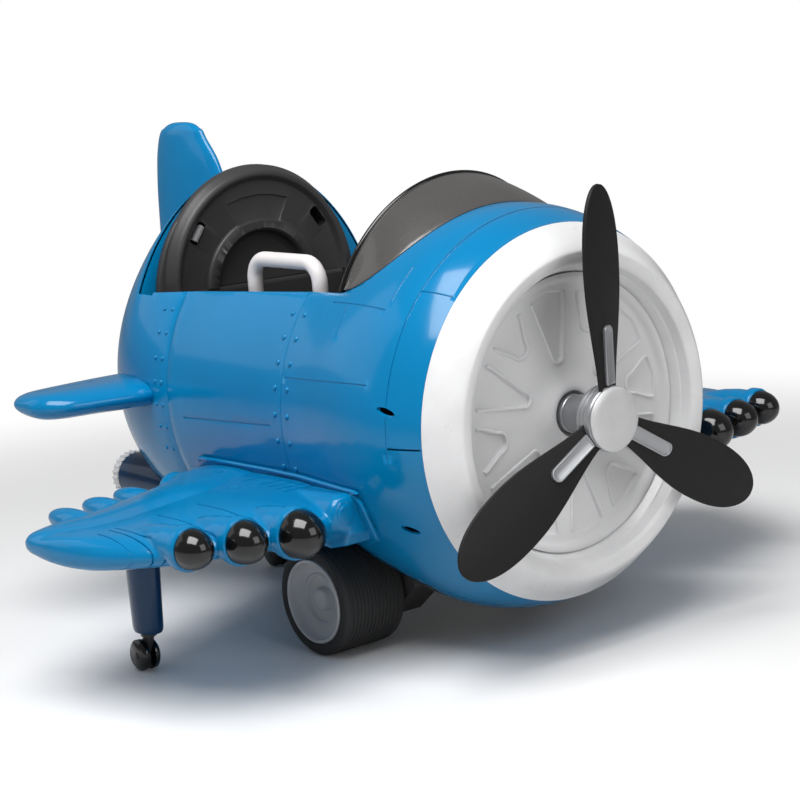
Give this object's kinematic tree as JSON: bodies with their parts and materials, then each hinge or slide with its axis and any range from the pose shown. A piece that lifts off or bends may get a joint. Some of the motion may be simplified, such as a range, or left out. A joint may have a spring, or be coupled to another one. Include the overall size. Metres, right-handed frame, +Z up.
{
  "type": "ride-on toy airplane",
  "caption": "Battery ride-on toy airplane with a barrel body, round white cowl, turning propeller, stub wings with pods, open cockpit with grab handles, and wheels.",
  "frame": {"origin": "on the floor, under the middle of the overall box", "axes": "+X to the nose, +Y to the rider's left, +Z up"},
  "size_m": [0.97, 1.12, 0.653],
  "materials": {
    "blue_shell": "glossy moulded shell",
    "dark_blue": "glossy dark blue moulding",
    "white_gloss": "glossy white moulding",
    "face_grey": "satin pale grey pressed plate",
    "windshield_grey": "glossy opaque dark grey hood",
    "black_matte": "fine grained black moulding",
    "black_gloss": "polished black moulding",
    "strap_web": "woven grey webbing",
    "green_plastic": "glossy button",
    "red_plastic": "glossy button and switch",
    "steel": "plain turned steel",
    "motor_steel": "rolled steel can",
    "silver_plastic": "silver painted moulding",
    "wheel_black": "hard black wheel",
    "tyre_black": "finely grooved tread",
    "hub_grey": "satin grey moulding",
    "battery_case": "moulded case"
  },
  "bodies": {
    "airframe": {"nose_shell": "blue_shell", "middle_shell": "blue_shell", "tail_shell": "blue_shell", "belly_pan": "black_matte", "cowl_ring": "white_gloss", "engine_face": "face_grey", "windshield": "windshield_grey", "windshield_rim": "black_matte", "dashboard": "black_matte", "cockpit_tub": "black_matte", "seat_back": "black_matte", "seat_base": "black_matte", "harness_strap": "strap_web", "grab_handle_right": "white_gloss", "grab_handle_left": "white_gloss", "propeller_motor": "motor_steel", "wing_right": "blue_shell", "wing_left": "blue_shell", "pod_noses_right": "black_gloss", "pod_noses_left": "black_gloss", "wing_leg_right": "dark_blue", "wing_leg_left": "dark_blue", "drive_axle": "steel", "gearbox_right": "black_matte", "gearbox_left": "black_matte", "drive_motors": "motor_steel", "battery": "battery_case", "control_box": "battery_case", "speaker": "black_matte", "tail_fin": "blue_shell", "stabiliser_right": "blue_shell", "stabiliser_left": "blue_shell", "tail_nozzles": "dark_blue", "nozzle_rings": "white_gloss", "handle_screws": "steel"},
    "propeller": {"motor_shaft": "steel", "hub_barrel": "silver_plastic", "hub_collar": "silver_plastic", "hub_cap": "silver_plastic", "blade_1": "black_matte", "blade_2": "black_matte", "blade_3": "black_matte", "blade_braces": "silver_plastic"},
    "drive_wheel_right": {"drive_tyre_right": "tyre_black", "drive_hub_right": "hub_grey"},
    "drive_wheel_left": {"drive_tyre_left": "tyre_black", "drive_hub_left": "hub_grey"},
    "wing_caster_right": {"wing_yoke_right": "black_matte"},
    "wing_caster_left": {"wing_yoke_left": "black_matte"},
    "wing_caster_wheel_right": {"wing_wheel_right": "wheel_black"},
    "wing_caster_wheel_left": {"wing_wheel_left": "wheel_black"},
    "rear_caster": {"rear_yoke": "black_matte"},
    "rear_caster_wheel": {"rear_wheel": "wheel_black"},
    "stick_right": {"joystick_right": "black_matte"},
    "stick_left": {"joystick_left": "black_matte"},
    "start_push": {"start_button": "green_plastic"},
    "horn_push": {"horn_button": "red_plastic"},
    "light_rocker": {"light_switch": "red_plastic"}
  },
  "joints": [
    {"name": "propeller_spin", "type": "hinge", "parent": "airframe", "child": "propeller", "pos_m": [0.4, 0, 0.2965], "axis": [1, 0, 0], "continuous": true},
    {"name": "drive_wheel_right_spin", "type": "hinge", "parent": "airframe", "child": "drive_wheel_right", "pos_m": [0.166, -0.1875, 0.07], "axis": [0, 1, 0], "continuous": true},
    {"name": "drive_wheel_left_spin", "type": "hinge", "parent": "airframe", "child": "drive_wheel_left", "pos_m": [0.166, 0.1875, 0.07], "axis": [0, 1, 0], "continuous": true},
    {"name": "wing_caster_right_swivel", "type": "hinge", "parent": "airframe", "child": "wing_caster_right", "pos_m": [0.052, -0.408, 0.06], "axis": [0, 0, 1], "continuous": true},
    {"name": "wing_caster_left_swivel", "type": "hinge", "parent": "airframe", "child": "wing_caster_left", "pos_m": [0.052, 0.408, 0.06], "axis": [0, 0, 1], "continuous": true},
    {"name": "wing_caster_wheel_right_spin", "type": "hinge", "parent": "wing_caster_right", "child": "wing_caster_wheel_right", "pos_m": [0.039, -0.408, 0.02], "axis": [0, 1, 0], "continuous": true},
    {"name": "wing_caster_wheel_left_spin", "type": "hinge", "parent": "wing_caster_left", "child": "wing_caster_wheel_left", "pos_m": [0.039, 0.408, 0.02], "axis": [0, 1, 0], "continuous": true},
    {"name": "rear_caster_swivel", "type": "hinge", "parent": "airframe", "child": "rear_caster", "pos_m": [-0.23, 0, 0.09], "axis": [0, 0, 1], "continuous": true},
    {"name": "rear_caster_wheel_spin", "type": "hinge", "parent": "rear_caster", "child": "rear_caster_wheel", "pos_m": [-0.243, 0, 0.02], "axis": [0, 1, 0], "continuous": true},
    {"name": "joystick_right_tilt", "type": "hinge", "parent": "airframe", "child": "stick_right", "pos_m": [0.06, -0.144, 0.31], "axis": [0, 1, 0], "range_deg": [-15, 15], "stiffness_Nm_per_rad": 0.6},
    {"name": "joystick_left_tilt", "type": "hinge", "parent": "airframe", "child": "stick_left", "pos_m": [0.06, 0.144, 0.31], "axis": [0, 1, 0], "range_deg": [-15, 15], "stiffness_Nm_per_rad": 0.6},
    {"name": "start_button_push", "type": "slide", "parent": "airframe", "child": "start_push", "axis": [1, 0, 0], "range_m": [0, 0.003], "stiffness_N_per_m": 300, "springref_m": -0.001},
    {"name": "horn_button_push", "type": "slide", "parent": "airframe", "child": "horn_push", "axis": [1, 0, 0], "range_m": [0, 0.003], "stiffness_N_per_m": 300, "springref_m": -0.001},
    {"name": "light_switch_rock", "type": "hinge", "parent": "airframe", "child": "light_rocker", "pos_m": [0.243, 0, 0.481], "axis": [0, -1, 0], "range_deg": [0, 16]}
  ]
}
